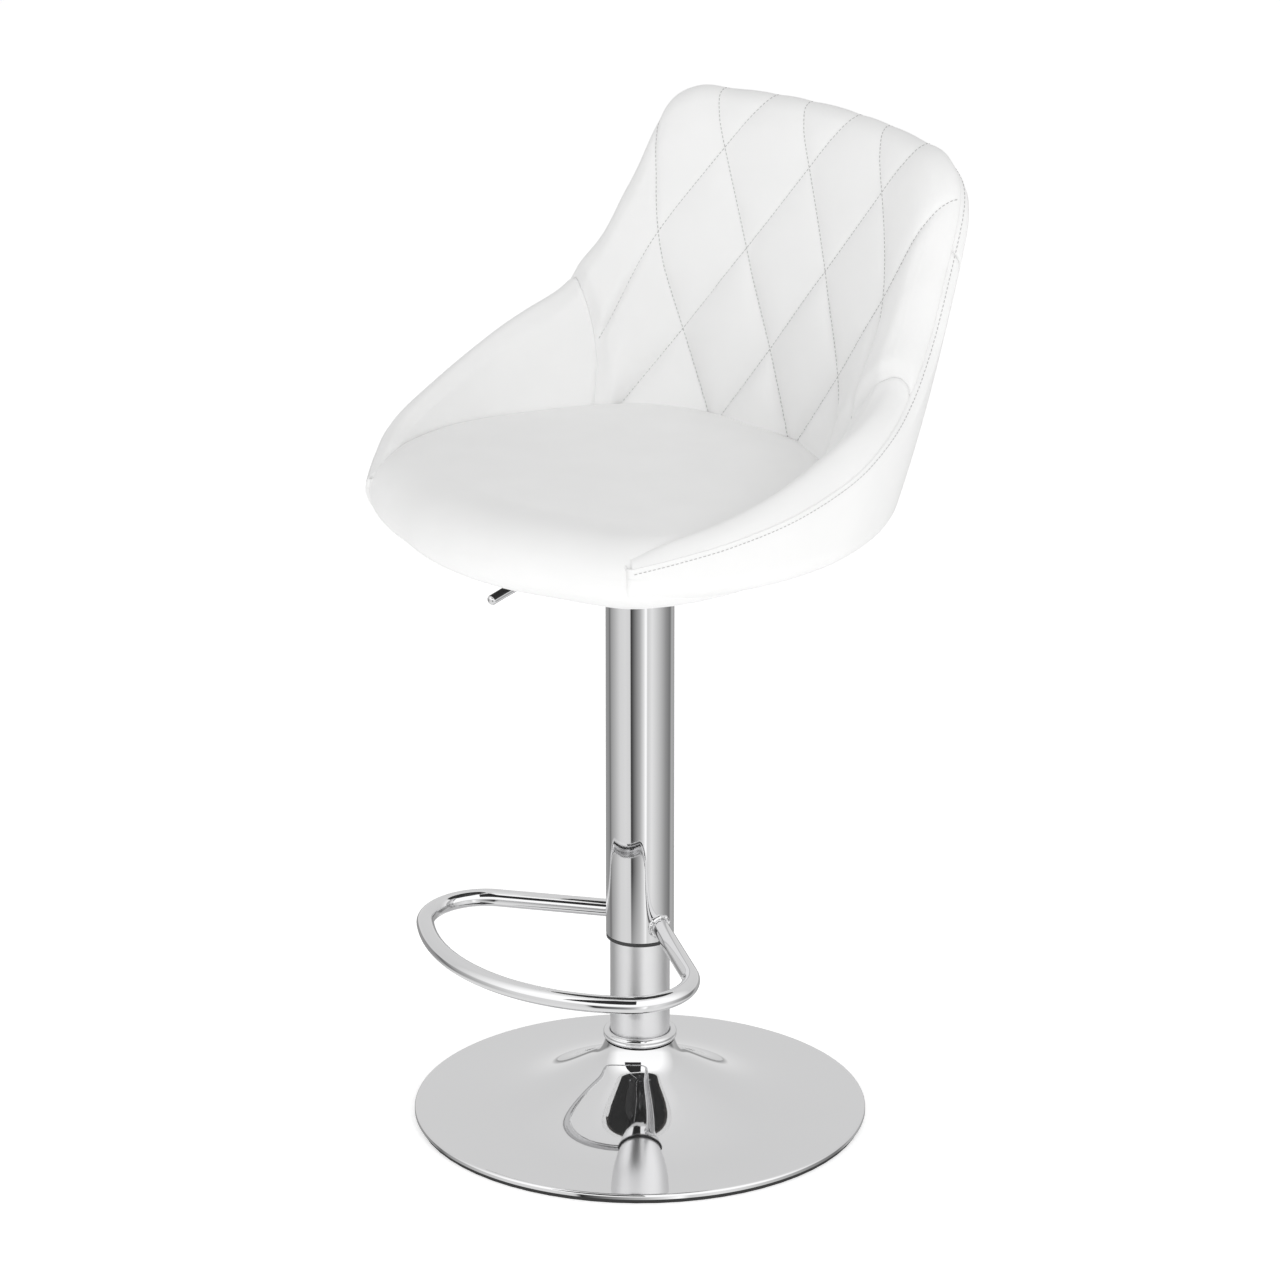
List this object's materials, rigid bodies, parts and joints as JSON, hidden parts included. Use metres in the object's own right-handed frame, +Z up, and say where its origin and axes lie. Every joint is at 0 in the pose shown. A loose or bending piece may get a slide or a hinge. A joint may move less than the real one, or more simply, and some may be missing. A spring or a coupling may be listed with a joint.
{
  "type": "adjustable swivel stool",
  "caption": "Bar stool with a quilted bucket seat on a chrome gas-lift column, with a round base, a ring footrest and a height lever.",
  "frame": {"origin": "on the floor, under the column's axis", "axes": "+Z up, the seat faces -Y, and +X is to the right seen from the front"},
  "size_m": [0.4544, 0.4522, 0.8495],
  "materials": {
    "chrome": "polished mirror chrome plating",
    "steel": "zinc-plated steel",
    "black_steel": "black powder coat",
    "rubber": "matt black rubber",
    "nylon": "black moulded nylon",
    "plywood": "raw bent plywood",
    "white_leather": "smooth white synthetic leather over foam",
    "lining": "black non-woven dust cover"
  },
  "bodies": {
    "base": {"floor_pad": "rubber", "ballast_plate": "steel", "base_cover": "chrome", "tube_flange": "black_steel", "flange_bolt_1": "steel", "flange_bolt_2": "steel", "flange_bolt_3": "steel", "collar_ring": "chrome", "lower_tube": "chrome", "tube_foot_plate": "steel", "lower_bearing_washer": "steel", "guide_sleeve": "nylon"},
    "rod": {"piston_rod": "chrome", "upper_bearing_washer": "steel", "retaining_clip": "steel", "bump_stop": "rubber", "piston": "nylon"},
    "seat": {"gas_cylinder": "black_steel", "cylinder_gland": "nylon", "upper_tube": "chrome", "tube_top_plate": "steel", "tube_cap": "nylon", "guide_bush": "nylon", "footrest": "chrome", "footrest_collar_left": "chrome", "footrest_collar_right": "chrome", "seat_plate": "black_steel", "mechanism_housing": "black_steel", "taper_socket": "steel", "lever_pivot_pin": "steel", "plate_bolt_1": "steel", "plate_bolt_2": "steel", "plate_bolt_3": "steel", "plate_bolt_4": "steel", "threaded_insert_1": "steel", "threaded_insert_2": "steel", "threaded_insert_3": "steel", "threaded_insert_4": "steel", "seat_board": "plywood", "lining": "lining", "seat_cushion": "white_leather", "bucket_core": "plywood", "back_pad": "white_leather", "wing_pad_left": "white_leather", "wing_pad_right": "white_leather", "rear_cover": "white_leather", "side_cover_left": "white_leather", "side_cover_right": "white_leather"},
    "lever": {"lever_rod": "chrome"},
    "valve_pin": {"release_pin": "steel"}
  },
  "joints": [
    {"name": "seat_swivel", "type": "hinge", "parent": "base", "child": "rod", "pos_m": [0, 0, 0.0255], "axis": [0, 0, 1], "continuous": true},
    {"name": "seat_lift", "type": "slide", "parent": "rod", "child": "seat", "axis": [0, 0, 1], "range_m": [0, 0.21]},
    {"name": "height_lever", "type": "hinge", "parent": "seat", "child": "lever", "pos_m": [0, -0.034, 0.51], "axis": [-1, 0, 0], "range_deg": [0, 4], "stiffness_Nm_per_rad": 8, "springref_deg": -1.72},
    {"name": "release_pin_travel", "type": "slide", "parent": "seat", "child": "valve_pin", "axis": [0, 0, -1], "range_m": [0, 0.0025]}
  ],
  "couplings": [
    {"joint": "release_pin_travel", "follows": "height_lever", "m_per_rad": 0.034}
  ]
}
